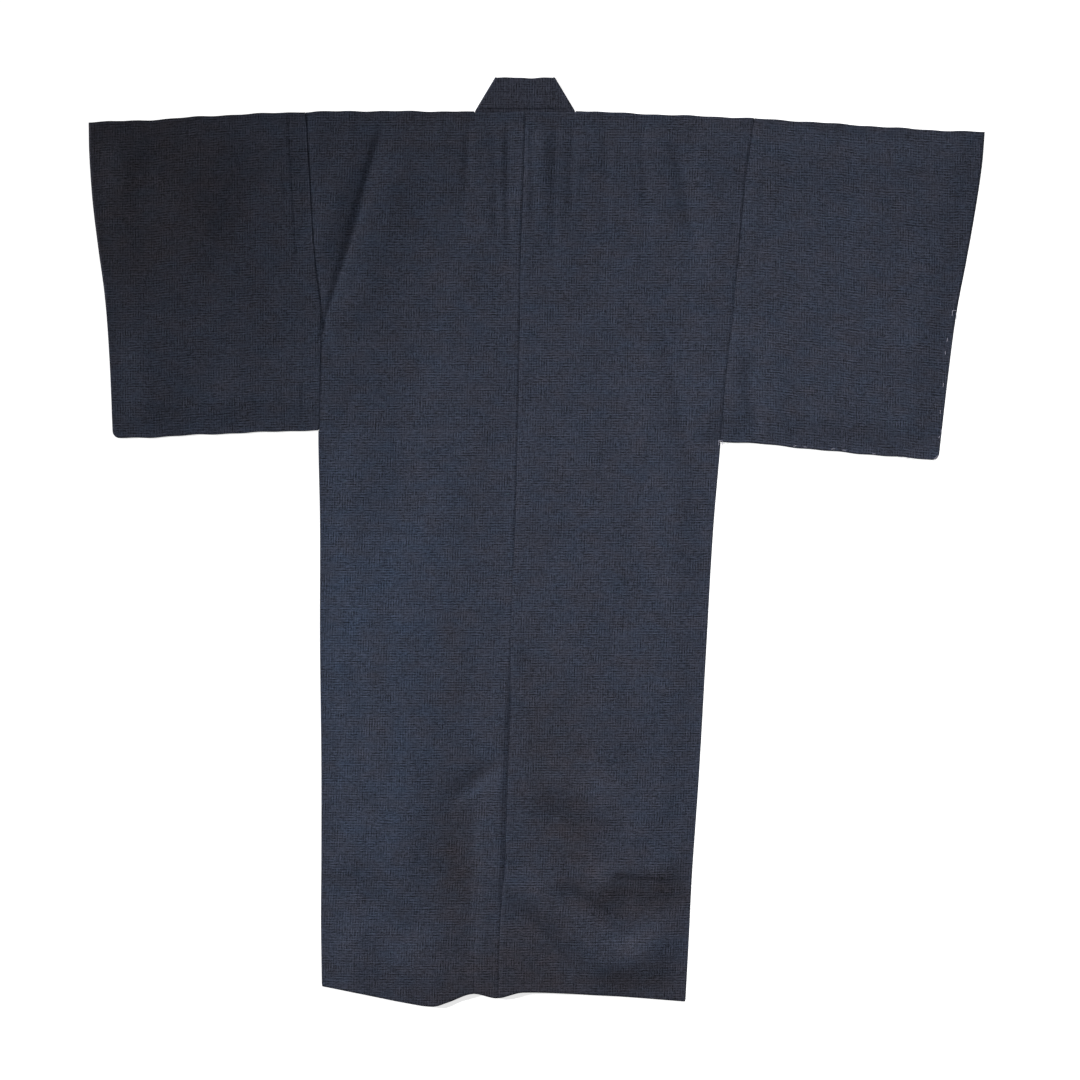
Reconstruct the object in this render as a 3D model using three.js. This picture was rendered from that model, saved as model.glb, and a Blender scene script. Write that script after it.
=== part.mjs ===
// A man's kimono laid flat on its front, with the back up and the sleeves out to the sides.
// Millimetres. X runs across the sleeves, Y from the hem to the collar, Z up from the surface.
import * as THREE from "three";

// Cloth and seams
const CLOTH = 1; // wall of a panel
const BAND = 2; // wall of the collar, several layers pressed together
const SEAM_GAP = 0.3; // between two pieces that are sewn to each other
const AIR = 0.5; // between two layers that lie on each other
const TURN = CLOTH + AIR / 2; // how far a turned edge stands out past the inside of its fold

// The garment's own sizes
const SHOULDER_Y = 645;
const HEM_Y = -670;
const NECK_HALF = 76; // half the neck opening in the body
const COLLAR_HALF = 73.5; // half the collar's length along the back of the neck
const COLLAR_TOP_HALF = 43.5; // half the length of its free edge there
const COLLAR_RISE = 49; // how far it lies above the back
const COLLAR_WIDE = 52;
const COLLAR_END = 600; // the collar ends this far below the shoulder
const OVERLAP_TIP = 238; // the overlap panel's tip, below the shoulder
const OVERLAP_SEAM_LEAN = 30; // its seam drifts this far to its own side by the hem
const FRONT_EDGE_AT_COLLAR = -130; // front edge, past the centre line, where the collar ends
const FRONT_EDGE_AT_HEM = -120;
const HAND_OPENING = 0.55; // share of the sleeve's depth that is open at the hand
const CUFF_CORNER = 9; // radius of the sleeve's lower corner
const ARMPIT_DROP = TURN + 0.45; // the side stays open this far below the sleeve, then turns
const FRONT_HEM_SHORT = 5; // the front hem lies this far above the back hem
const LENGTH = SHOULDER_Y - HEM_Y;

// How high the layers lie
const LAYER = BAND + SEAM_GAP; // the right front lies this far above the left front
const STEP_MARGIN = 12; // it stays up this far past the edge of the left front
const STEP_RUN = 50; // and comes down over this width
const LOFT = 4; // air under the middle of the back
const LOFT_EDGE = 55; // width over which that air closes at an edge
const HEM_LOFT = 0.45; // share of it that stays at the open hem and cuffs
const COLLAR_ZONE = 100; // half width round the neck where the collar lies under the back
const COLLAR_CROWN = 0.8;

// Lines down the body, seen from above: the two sides and the centre back seam
const BODY_LINES = [
  { down: 0, left: -348, centre: -18, right: 327 },
  { down: 100, left: -342, centre: -21, right: 312.5 },
  { down: 225, left: -334, centre: -25.5, right: 301 },
  { down: 300, left: -325.5, centre: -26.5, right: 293.5 },
  { down: 420, left: -327, centre: -28.5, right: 280.5 },
  { down: 490, left: -328, centre: -30, right: 275 },
  { down: 620, left: -325.5, centre: -33.5, right: 264 },
  { down: 800, left: -325.5, centre: -40, right: 253.5 },
  { down: 980, left: -323.5, centre: -44, right: 243 },
  { down: 1130, left: -323.5, centre: -50, right: 232.5 },
  { down: 1220, left: -324, centre: -56, right: 228 },
  { down: 1330, left: -322.5, centre: -58.5, right: 222 },
];

// The top edge from cuff to cuff, as a drop below the shoulder at the neck
const SHOULDER_LINE = [
  { x: -672, drop: 15.5 },
  { x: -583, drop: 12.5 },
  { x: -493, drop: 6.5 },
  { x: -358, drop: 0.5 },
  { x: -246, drop: -1 },
  { x: -110, drop: 0 },
  { x: -60, drop: 0 },
  { x: 30, drop: 0 },
  { x: 75, drop: 0 },
  { x: 204, drop: 5 },
  { x: 316, drop: 9.5 },
  { x: 406, drop: 15 },
  { x: 586, drop: 27 },
  { x: 671, drop: 30.5 },
];

// The back hem, as a drop below its level
const HEM_LINE = [
  { x: -323, drop: -3.5 },
  { x: -268, drop: 7 },
  { x: -201, drop: 20 },
  { x: -156, drop: 26.5 },
  { x: -133, drop: 20 },
  { x: -97, drop: 7.5 },
  { x: -60, drop: 14 },
  { x: -21, drop: 5.5 },
  { x: 92, drop: 10 },
  { x: 160, drop: 14.5 },
  { x: 222, drop: 19.5 },
];

// The cuff edges, by share of the sleeve's depth
const CUFF_LINES = [
  { share: 0, left: -671, right: 670 },
  { share: 0.1, left: -670, right: 666 },
  { share: 0.25, left: -665, right: 655 },
  { share: 0.4, left: -656.5, right: 642 },
  { share: 0.55, left: -647, right: 628 },
  { share: 0.75, left: -640, right: 615 },
  { share: 1, left: -635, right: 601 },
];

// Depth of each sleeve below the shoulder line, at the body and at the cuff
const SLEEVES = {
  left: { atBody: 480, atCuff: 475.5 },
  right: { atBody: 489, atCuff: 495 },
};

// The largest folds of the back: ridges rise and troughs sink, and each fades out at its ends
const FOLDS = [
  { x0: -225, y0: 650, x1: -326, y1: 300, wide: 22, rise: -4 },
  { x0: -262, y0: 620, x1: -335, y1: 400, wide: 26, rise: 4 },
  { x0: -190, y0: 600, x1: -285, y1: 300, wide: 30, rise: 3.5 },
  { x0: 200, y0: 640, x1: 246, y1: 400, wide: 24, rise: -3.5 },
  { x0: 236, y0: 610, x1: 275, y1: 330, wide: 26, rise: 3 },
  { x0: 180, y0: 370, x1: 258, y1: -20, wide: 26, rise: -3.5 },
  { x0: 140, y0: 340, x1: 222, y1: -60, wide: 34, rise: 3 },
  { x0: -40, y0: 660, x1: -42, y1: 500, wide: 20, rise: -2.5 },
  { x0: 8, y0: 660, x1: 4, y1: 520, wide: 20, rise: 3 },
  { x0: -55, y0: -130, x1: -66, y1: -560, wide: 20, rise: 6 },
  { x0: -60, y0: -335, x1: -135, y1: -395, wide: 22, rise: -4.5 },
  { x0: -128, y0: -370, x1: -150, y1: -740, wide: 24, rise: -5 },
  { x0: -215, y0: 20, x1: -222, y1: -560, wide: 55, rise: 5 },
  { x0: -285, y0: -90, x1: -252, y1: -350, wide: 22, rise: -4 },
  { x0: -315, y0: -480, x1: -165, y1: -615, wide: 28, rise: -4 },
  { x0: -300, y0: -560, x1: -190, y1: -730, wide: 34, rise: 4 },
  { x0: -38, y0: -150, x1: 105, y1: -390, wide: 28, rise: -4 },
  { x0: 10, y0: -120, x1: 160, y1: -330, wide: 40, rise: 3 },
  { x0: 0, y0: -330, x1: 165, y1: -455, wide: 34, rise: 5.5 },
  { x0: 22, y0: -405, x1: 104, y1: -500, wide: 22, rise: -5 },
  { x0: 80, y0: -492, x1: 245, y1: -512, wide: 26, rise: -6 },
  { x0: 40, y0: -520, x1: 150, y1: -600, wide: 22, rise: -6.5 },
  { x0: -30, y0: -500, x1: 125, y1: -655, wide: 24, rise: 6.5 },
  { x0: -48, y0: -530, x1: 90, y1: -705, wide: 24, rise: -5.5 },
  { x0: 130, y0: -625, x1: 245, y1: -585, wide: 26, rise: 5.5 },
  { x0: 95, y0: -695, x1: 245, y1: -655, wide: 22, rise: -4 },
  { x0: -560, y0: 590, x1: -420, y1: 260, wide: 60, rise: 3 },
  { x0: -610, y0: 560, x1: -600, y1: 260, wide: 40, rise: -2 },
  { x0: 390, y0: 540, x1: 560, y1: 220, wide: 60, rise: 3 },
  { x0: 308, y0: 300, x1: 334, y1: 130, wide: 20, rise: -4 },
  { x0: 345, y0: 330, x1: 372, y1: 130, wide: 26, rise: 3 },
];

// Grid of the sheets
const SHOULDER_COLUMNS = 8; // from the side to the neck
const NECK_COLUMNS = 3; // from the neck to the centre back
const SLEEVE_COLUMNS = 10;
const ARM_SHARES = [0, 0.03, 0.08, 0.15, 0.23, 0.31, 0.39, 0.47, 0.55, 0.64, 0.73, 0.82, 0.9, 0.96, 1];
const SKIRT_ROWS = 24;
const OVERLAP_ROWS = 26;
const OVERLAP_COLUMNS = 3;
const EDGE_COLUMNS = 2;
const BAND_ROWS = 20;
const BAND_COLUMNS = 3;
const BACK_BAND_ROWS = 6;

const { clamp, lerp, smoothstep } = THREE.MathUtils;
const SIDE = { left: -1, right: 1 };

// A smooth curve through the rows of a table, level past its ends.
function curve(rows, at, value) {
  const x = rows.map((row) => row[at]);
  const y = rows.map((row) => row[value]);
  const slope = x.map((_, i) => {
    const before = Math.max(i - 1, 0);
    const after = Math.min(i + 1, x.length - 1);
    return (y[after] - y[before]) / (x[after] - x[before]);
  });
  return (t) => {
    let i = 0;
    while (i < x.length - 2 && t > x[i + 1]) i += 1;
    const span = x[i + 1] - x[i];
    const s = clamp((t - x[i]) / span, 0, 1);
    const start = (1 + 2 * s) * (1 - s) ** 2 * y[i] + s * (1 - s) ** 2 * span * slope[i];
    return start + s * s * (3 - 2 * s) * y[i + 1] - s * s * (1 - s) * span * slope[i + 1];
  };
}

const sideLine = { left: curve(BODY_LINES, "down", "left"), right: curve(BODY_LINES, "down", "right") };
const centreLine = curve(BODY_LINES, "down", "centre");
const shoulderDrop = curve(SHOULDER_LINE, "x", "drop");
const hemDrop = curve(HEM_LINE, "x", "drop");
const cuffLine = { left: curve(CUFF_LINES, "share", "left"), right: curve(CUFF_LINES, "share", "right") };
const shoulderY = (x) => SHOULDER_Y - shoulderDrop(x) - TURN;
const hemY = (x) => HEM_Y - hemDrop(x);

// The side of the body and the cuff, on the inside of their turned edges.
const sideX = (name, down) => sideLine[name](down) - SIDE[name] * TURN;
const cuffX = (name, share) => {
  const round = clamp((share - 1) * SLEEVES[name].atCuff + CUFF_CORNER, 0, CUFF_CORNER);
  const inset = CUFF_CORNER - Math.sqrt(CUFF_CORNER ** 2 - round ** 2);
  return cuffLine[name](share) - SIDE[name] * inset;
};

// A place on the body by its distance below the shoulder and its distance from the centre line,
// counted towards the piece's own side.
const bodyX = (name, down, out) => centreLine(down) + SIDE[name] * out;
const collarSeam = (down) => COLLAR_HALF - 0.3612 * down + 0.000181 * down ** 2;
const overlapSeam = (down) =>
  OVERLAP_SEAM_LEAN * clamp((down - OVERLAP_TIP) / (LENGTH - OVERLAP_TIP), 0, 1);
const frontEdge = (down) =>
  lerp(FRONT_EDGE_AT_COLLAR, FRONT_EDGE_AT_HEM, clamp((down - COLLAR_END) / (LENGTH - COLLAR_END), 0, 1));

// A place on a front by its distance down and its distance from the centre line.
function frontPlace(name, down, out) {
  const x = bodyX(name, down, out);
  return { x, y: lerp(shoulderY(x), hemY(x) + FRONT_HEM_SHORT, down / LENGTH) };
}

// How far past the centre line a front reaches, with its collar.
function reach(down) {
  if (down > COLLAR_END) return -frontEdge(down);
  return COLLAR_WIDE + 4 - collarSeam(down);
}

// 1 where the left front lies under the right one, 0 beyond its edge.
function overLeftFront(x, y) {
  const down = SHOULDER_Y - y;
  const past = x - bodyX("left", down, -reach(down));
  return 1 - smoothstep(past, STEP_MARGIN, STEP_MARGIN + STEP_RUN);
}

function underRightFront(x, y) {
  const down = SHOULDER_Y - y;
  const past = bodyX("right", down, -reach(down)) - x;
  return 1 - smoothstep(past, STEP_MARGIN, STEP_MARGIN + STEP_RUN);
}

// Underside of a front piece: the left one is on the surface, the right one climbs over it.
const frontUnder = (name, x, y) => (name === "left" ? 0 : LAYER * overLeftFront(x, y));

// Lowest level that the back can have over the fronts and the collar.
function pile(x, y) {
  const down = SHOULDER_Y - y;
  const across = Math.abs(x - centreLine(down));
  const nearCollar =
    (1 - smoothstep(across, COLLAR_ZONE, COLLAR_ZONE + STEP_RUN)) *
    (1 - smoothstep(down, COLLAR_END, COLLAR_END + STEP_RUN));
  const stacked = overLeftFront(x, y) * underRightFront(x, y);
  return CLOTH + AIR + (BAND - CLOTH) * nearCollar + LAYER * stacked;
}

// Height of one fold at a place: a soft ridge along a line, fading out at both ends.
function foldRise(fold, x, y) {
  const dx = fold.x1 - fold.x0;
  const dy = fold.y1 - fold.y0;
  const length = Math.hypot(dx, dy);
  const along = ((x - fold.x0) * dx + (y - fold.y0) * dy) / length ** 2;
  const aside = ((x - fold.x0) * dy - (y - fold.y0) * dx) / length;
  const fade = smoothstep(along, 0, 0.3) * (1 - smoothstep(along, 0.7, 1));
  return fold.rise * fade * Math.exp(-((aside / fold.wide) ** 2));
}

// Bottom edge of a sleeve, inside its turned edge, straight from the body to the cuff.
function sleeveBottomY(name, x) {
  const atBody = sideX(name, SLEEVES[name].atBody);
  const atCuff = cuffLine[name](1);
  const depth = lerp(
    SLEEVES[name].atBody,
    SLEEVES[name].atCuff,
    clamp((x - atBody) / (atCuff - atBody), 0, 1),
  );
  return shoulderY(x) - depth + 2 * TURN;
}

// How open the layers are at a place, from 0 at a closed edge to 1 in the middle.
function openness(x, y) {
  const name = x < centreLine(SHOULDER_Y - y) ? "left" : "right";
  const side = sideX(name, SHOULDER_Y - y);
  const inBody = Math.max(0, (side - x) * SIDE[name]);
  const aboveSleeve = Math.max(0, y - sleeveBottomY(name, x));
  const share = clamp((shoulderY(x) - y) / SLEEVES[name].atCuff, 0, 1);
  const inCuff = (cuffLine[name](share) - x) * SIDE[name];
  return (
    smoothstep(inBody + aboveSleeve, 0, LOFT_EDGE) *
    smoothstep(shoulderY(x) - y, 0, LOFT_EDGE) *
    lerp(HEM_LOFT, 1, smoothstep(y - hemY(x), 0, LOFT_EDGE)) *
    smoothstep(inCuff, -1, LOFT_EDGE)
  );
}

// Underside of the back.
function backUnder(x, y) {
  const folds = FOLDS.reduce((sum, fold) => sum + foldRise(fold, x, y), 0);
  return pile(x, y) + Math.max(0, LOFT + folds) * openness(x, y);
}

// A sheet of cloth by the points of its inside face. A wall is put on its outer side.
class Sheet {
  constructor(thickness) {
    this.thickness = thickness;
    this.points = [];
    this.upright = [];
    this.quads = [];
  }

  // Adds a point. The wall at a cut edge doesn't lean along the axis that upright names.
  point(x, y, z, upright = null) {
    this.points.push(new THREE.Vector3(x, y, z));
    this.upright.push(upright);
    return this.points.length - 1;
  }

  // Adds a face whose corners turn anticlockwise as seen from outside the garment.
  face(...corners) {
    this.quads.push(corners);
  }

  // Adds the faces between two rows of points, turned round where flip says so.
  strip(one, two, flip = false) {
    for (let i = 0; i + 1 < one.length; i += 1) {
      const corners = [one[i], one[i + 1], two[i + 1], two[i]];
      this.face(...(flip ? corners.reverse() : corners));
    }
  }

  triangles() {
    const p = this.points;
    return this.quads.flatMap(([a, b, c, d]) => {
      if (d === undefined) return [[a, b, c]];
      const first = p[a].distanceTo(p[c]) <= p[b].distanceTo(p[d]);
      return first ? [[a, b, c], [a, c, d]] : [[a, b, d], [b, c, d]];
    });
  }

  // The outer face: each point moved out, more at a turn so that the wall keeps its thickness.
  outer(triangles) {
    const normals = this.points.map(() => new THREE.Vector3());
    const faces = triangles.map((corners) => {
      const [a, b, c] = corners.map((i) => this.points[i]);
      const area = b.clone().sub(a).cross(c.clone().sub(a));
      const unit = area.clone().normalize();
      corners.forEach((i, k) => {
        const one = this.points[corners[(k + 1) % 3]].clone().sub(this.points[i]);
        const two = this.points[corners[(k + 2) % 3]].clone().sub(this.points[i]);
        normals[i].addScaledVector(unit, one.angleTo(two));
      });
      return unit;
    });
    normals.forEach((normal, i) => {
      if (this.upright[i]) normal[this.upright[i]] = 0;
      normal.normalize();
    });
    const facing = this.points.map(() => ({ sum: 0, count: 0 }));
    triangles.forEach((corners, f) => {
      corners.forEach((i) => {
        facing[i].sum += normals[i].dot(faces[f]);
        facing[i].count += 1;
      });
    });
    return this.points.map((point, i) => {
      const stretch = clamp(facing[i].count / facing[i].sum, 1, 1.4);
      const moved = point.clone().addScaledVector(normals[i], this.thickness * stretch);
      moved.z = Math.max(0, moved.z);
      return moved;
    });
  }

  // The closed solid: inside face, outer face and the cut edges between them.
  solid() {
    const triangles = this.triangles();
    const outer = this.outer(triangles);
    const count = this.points.length;
    const index = [];
    const edges = new Map();
    triangles.forEach(([a, b, c]) => {
      index.push(a + count, b + count, c + count, a, c, b);
      [[a, b], [b, c], [c, a]].forEach(([from, to]) => {
        const twin = `${to},${from}`;
        if (edges.has(twin)) edges.delete(twin);
        else edges.set(`${from},${to}`, [from, to]);
      });
    });
    edges.forEach(([from, to]) => {
      index.push(to + count, from + count, from, to + count, from, to);
    });
    const geometry = new THREE.BufferGeometry();
    geometry.setFromPoints([...this.points, ...outer]);
    geometry.setIndex(index);
    return geometry;
  }
}

// Shares of the way down the body: the sleeve's stations first, then even steps to the hem.
function downShares(name) {
  const side = sideX(name, 0);
  const armpit = sleeveBottomY(name, sideX(name, SLEEVES[name].atBody));
  const arm = (shoulderY(side) - armpit) / (shoulderY(side) - hemY(sideX(name, LENGTH)));
  const shares = ARM_SHARES.map((share) => share * arm);
  shares.push(arm + ARMPIT_DROP / LENGTH, arm + (2 * ARMPIT_DROP) / LENGTH);
  for (let i = 1; i <= SKIRT_ROWS; i += 1) shares.push(lerp(arm, 1, i / SKIRT_ROWS));
  return shares;
}

// One body width: the back down to the hem, and over the shoulder the front.
function bodyWidth(name) {
  const out = SIDE[name];
  const sheet = new Sheet(CLOTH);
  const neckShare = 1 - NECK_HALF / Math.abs(sideX(name, 0) - centreLine(0));
  const shares = downShares(name);
  const armRows = ARM_SHARES.length;

  const back = shares.map((share) => {
    const down = share * LENGTH;
    const side = sideX(name, down);
    const centre = centreLine(down) + (out * SEAM_GAP) / 2;
    const row = [];
    for (let j = 0; j <= SHOULDER_COLUMNS + NECK_COLUMNS; j += 1) {
      const u =
        j <= SHOULDER_COLUMNS
          ? (neckShare * j) / SHOULDER_COLUMNS
          : lerp(neckShare, 1, (j - SHOULDER_COLUMNS) / NECK_COLUMNS);
      const x = lerp(side, centre, u);
      const y = lerp(shoulderY(x), hemY(x), share);
      const edge = j === 0 || j === SHOULDER_COLUMNS + NECK_COLUMNS ? "x" : null;
      const neckEdge = share === 0 && j >= SHOULDER_COLUMNS ? "y" : edge;
      row.push(sheet.point(x, y, backUnder(x, y), share === 1 ? "y" : neckEdge));
    }
    return row;
  });

  const front = shares.map((share) => {
    const down = share * LENGTH;
    const side = sideX(name, down);
    const corner = (NECK_HALF - COLLAR_HALF - SEAM_GAP) * (1 - smoothstep(down, 0, 30));
    const alongCollar = collarSeam(down) + SEAM_GAP + corner;
    const edgeOut = down < OVERLAP_TIP ? alongCollar : overlapSeam(down) + SEAM_GAP / 2;
    const edge = bodyX(name, down, edgeOut);
    const row = [];
    for (let j = 0; j <= SHOULDER_COLUMNS; j += 1) {
      const x = lerp(side, edge, j / SHOULDER_COLUMNS);
      const y = lerp(shoulderY(x), hemY(x) + FRONT_HEM_SHORT, share);
      const cut = j === 0 || j === SHOULDER_COLUMNS ? "x" : null;
      row.push(sheet.point(x, y, frontUnder(name, x, y) + CLOTH, cut));
    }
    return row;
  });

  const flip = name === "right";
  for (let i = 0; i + 1 < shares.length; i += 1) {
    sheet.strip(back[i + 1], back[i], flip);
    sheet.strip(front[i], front[i + 1], flip);
  }

  const shoulder = front[0].map((low, j) => {
    const high = sheet.points[back[0][j]];
    const z = (sheet.points[low].z + high.z) / 2;
    const edge = j === 0 || j === SHOULDER_COLUMNS ? "x" : null;
    return sheet.point(high.x, high.y + (high.z - z), z, edge);
  });
  sheet.strip(back[0].slice(0, SHOULDER_COLUMNS + 1), shoulder, flip);
  sheet.strip(shoulder, front[0], flip);

  const backSide = back.slice(armRows + 1).map((row) => row[0]);
  const frontSide = front.slice(armRows + 1).map((row) => row[0]);
  const turned = backSide.map((high, i) => {
    const upper = sheet.points[high];
    const lower = sheet.points[frontSide[i]];
    const z = (upper.z + lower.z) / 2;
    return sheet.point((upper.x + lower.x) / 2 + out * (upper.z - z), (upper.y + lower.y) / 2, z);
  });
  sheet.strip(backSide, turned, !flip);
  sheet.strip(turned, frontSide, !flip);
  return sheet.solid();
}

// One sleeve: a flat tube folded at the top, sewn below and up to the hand opening.
function sleeve(name) {
  const out = SIDE[name];
  const sheet = new Sheet(CLOTH);
  const arm = downShares(name)[ARM_SHARES.length - 1];

  const layer = (isBack) =>
    ARM_SHARES.map((share) => {
      const row = [];
      for (let j = 0; j <= SLEEVE_COLUMNS; j += 1) {
        const seam = sideX(name, share * arm * LENGTH) + out * SEAM_GAP;
        const w = j / SLEEVE_COLUMNS;
        const x = lerp(seam, cuffX(name, share), w);
        const bodyY = lerp(shoulderY(x), hemY(sideX(name, share * arm * LENGTH)), share * arm);
        const cuffY = lerp(shoulderY(x), sleeveBottomY(name, x), share);
        const y = lerp(bodyY, cuffY, smoothstep(w, 0, 0.5));
        const z = isBack ? backUnder(x, y) : CLOTH;
        row.push(sheet.point(x, y, z, j === 0 || j === SLEEVE_COLUMNS ? "x" : null));
      }
      return row;
    });
  const back = layer(true);
  const front = layer(false);

  const flip = name === "left";
  for (let i = 0; i + 1 < ARM_SHARES.length; i += 1) {
    sheet.strip(back[i + 1], back[i], flip);
    sheet.strip(front[i], front[i + 1], flip);
  }

  // Joins the two layers along an edge with one rounded row that stands out by half their gap.
  const turnOver = (high, low, towards, turn) => {
    const middle = high.map((upper, j) => {
      const one = sheet.points[upper];
      const z = (one.z + sheet.points[low[j]].z) / 2;
      const away = one.z - z;
      const cut = towards.y && (j === 0 || j === high.length - 1) ? "x" : null;
      return sheet.point(one.x + towards.x * away, one.y + towards.y * away, z, cut);
    });
    sheet.strip(high, middle, turn);
    sheet.strip(middle, low, turn);
    return middle;
  };
  const last = ARM_SHARES.length - 1;
  turnOver(back[0], front[0], { x: 0, y: 1 }, flip);
  const bottom = turnOver(back[last], front[last], { x: 0, y: -1 }, !flip);

  // The cuff is sewn shut below the hand opening.
  const closed = ARM_SHARES.findIndex((share) => share >= HAND_OPENING);
  const high = back.slice(closed).map((row) => row[SLEEVE_COLUMNS]);
  const low = front.slice(closed).map((row) => row[SLEEVE_COLUMNS]);
  const cuff = turnOver(high, low, { x: out, y: 0 }, flip);
  const corner = bottom[SLEEVE_COLUMNS];
  const end = cuff.length - 1;
  const corners = [
    [high[end], cuff[end], corner],
    [cuff[end], low[end], corner],
  ];
  corners.forEach((three) => sheet.face(...(flip ? three : three.reverse())));
  return sheet.solid();
}

// One overlap panel: a long strip on the front edge, cut to a tip along the collar.
function overlapPanel(name) {
  const sheet = new Sheet(CLOTH);
  const first = OVERLAP_TIP + 6;
  const collarRows = Math.round((OVERLAP_ROWS * (COLLAR_END - first)) / (LENGTH - first));
  const rows = [];
  for (let i = 0; i <= collarRows; i += 1) rows.push(lerp(first, COLLAR_END, i / collarRows));
  const rest = OVERLAP_ROWS - collarRows;
  rows.push(COLLAR_END + SEAM_GAP);
  for (let i = 1; i <= rest; i += 1) rows.push(lerp(COLLAR_END, LENGTH, i / rest));

  const grid = rows.map((down) => {
    const seam = overlapSeam(down) - SEAM_GAP / 2;
    const collar = collarSeam(Math.min(down, COLLAR_END)) + SEAM_GAP;
    const row = [];
    const columns = down > COLLAR_END ? OVERLAP_COLUMNS + EDGE_COLUMNS : OVERLAP_COLUMNS;
    for (let j = 0; j <= columns; j += 1) {
      const over = Math.max(0, j - OVERLAP_COLUMNS) / EDGE_COLUMNS;
      const inner = lerp(seam, collar, Math.min(1, j / OVERLAP_COLUMNS));
      const out = j > OVERLAP_COLUMNS ? lerp(collar, frontEdge(down), over) : inner;
      const { x, y } = frontPlace(name, down, out);
      row.push(sheet.point(x, y, frontUnder(name, x, y) + CLOTH, j === 0 ? "x" : null));
    }
    return row;
  });
  for (let i = 0; i + 1 < grid.length; i += 1) {
    const columns = Math.min(grid[i].length, grid[i + 1].length);
    sheet.strip(grid[i].slice(0, columns), grid[i + 1].slice(0, columns), name === "right");
  }
  return sheet.solid();
}

// The collar: a band that runs up one front, folds over at the neck, crosses the back of the
// neck and folds down to the other front.
function collarBand() {
  const sheet = new Sheet(BAND);
  const neckY = SHOULDER_Y - TURN + SEAM_GAP;
  const section = (seam, free, low, crown) => {
    const row = [];
    for (let k = 0; k <= BAND_COLUMNS; k += 1) {
      const t = k / BAND_COLUMNS;
      const x = lerp(seam.x, free.x, t);
      const y = lerp(seam.y, free.y, t);
      row.push(sheet.point(x, y, low(x, y) + crown * Math.sin(Math.PI * t)));
    }
    return row;
  };
  const foldEnds = (name) => ({
    seam: { x: bodyX(name, 0, COLLAR_HALF), y: neckY },
    free: { x: bodyX(name, 0, COLLAR_TOP_HALF), y: neckY + COLLAR_RISE },
  });

  // The front run of one side, from the fold at the neck to the collar's end.
  const frontRun = (name) => {
    const rows = [];
    for (let i = 0; i <= BAND_ROWS; i += 1) {
      const down = COLLAR_END * (i / BAND_ROWS) ** 1.25;
      const seam = frontPlace(name, down, collarSeam(down));
      seam.y += SEAM_GAP * (1 - smoothstep(down, 0, 30));
      const slope = SIDE[name] * (-0.3612 + 2 * 0.000181 * down);
      const across = new THREE.Vector2(-SIDE[name], -SIDE[name] * slope).setLength(COLLAR_WIDE);
      const ends = foldEnds(name);
      const fold = new THREE.Vector2(ends.free.x - ends.seam.x, COLLAR_RISE);
      const turned = fold.lerp(across, smoothstep(down, 0, 90));
      const free = { x: seam.x + turned.x, y: seam.y + turned.y };
      rows.push(section(seam, free, (x, y) => frontUnder(name, x, y) + BAND, 0));
    }
    return rows;
  };

  const left = frontRun("left").reverse();
  const right = frontRun("right");
  const backLevel = BAND + AIR;
  const backRun = [];
  for (let i = 0; i <= BACK_BAND_ROWS; i += 1) {
    const t = i / BACK_BAND_ROWS;
    const from = foldEnds("left");
    const to = foldEnds("right");
    const seam = { x: lerp(from.seam.x, to.seam.x, t), y: neckY };
    const free = { x: lerp(from.free.x, to.free.x, t), y: neckY + COLLAR_RISE };
    backRun.push(section(seam, free, () => backLevel, COLLAR_CROWN * Math.sin(Math.PI * t)));
  }

  // The rounded row on each fold line.
  const foldRow = (name) => {
    const ends = foldEnds(name);
    const line = new THREE.Vector2(ends.free.x - ends.seam.x, COLLAR_RISE).normalize();
    const away = (AIR / 2) * SIDE[name];
    return section(
      { x: ends.seam.x + away * Math.abs(line.y), y: ends.seam.y + (AIR / 2) * Math.abs(line.x) },
      { x: ends.free.x + away * Math.abs(line.y), y: ends.free.y + (AIR / 2) * Math.abs(line.x) },
      () => BAND + AIR / 2,
      0,
    );
  };
  const path = [...left, foldRow("left"), ...backRun, foldRow("right"), ...right];
  for (let i = 0; i + 1 < path.length; i += 1) sheet.strip(path[i], path[i + 1], true);
  return sheet.solid();
}

// Dark navy cotton-like cloth, a shade apart from piece to piece.
function cloth(colour) {
  return new THREE.MeshStandardMaterial({ color: colour, roughness: 0.88, metalness: 0 });
}

const BODY_COLOUR = 0x2d3442;
const SLEEVE_COLOUR = 0x2a303c;
const OVERLAP_COLOUR = 0x2b323f;
const COLLAR_COLOUR = 0x2e3543;

function piece(name, geometry, colour) {
  const mesh = new THREE.Mesh(geometry, cloth(colour));
  mesh.name = name;
  return mesh;
}

const kimono = new THREE.Group();
["left", "right"].forEach((name) => {
  kimono.add(piece(`body_${name}`, bodyWidth(name), BODY_COLOUR));
  kimono.add(piece(`sleeve_${name}`, sleeve(name), SLEEVE_COLOUR));
  kimono.add(piece(`okumi_${name}`, overlapPanel(name), OVERLAP_COLOUR));
});
kimono.add(piece("collar", collarBand(), COLLAR_COLOUR));

// The origin is under the middle of the garment, on the surface.
const box = new THREE.Box3().setFromObject(kimono);
const middle = box.getCenter(new THREE.Vector3());
kimono.position.set(-middle.x, -middle.y, -box.min.z);

export default kimono;
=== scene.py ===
"""A man's kimono in dark navy cloth, laid flat on its front and seen from straight above.

The cloth pieces are thin shells on the forms of their solids. Shapes are worked out in millimetres
from the garment's own tables and become metres where a mesh is made.
"""

import math

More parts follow.
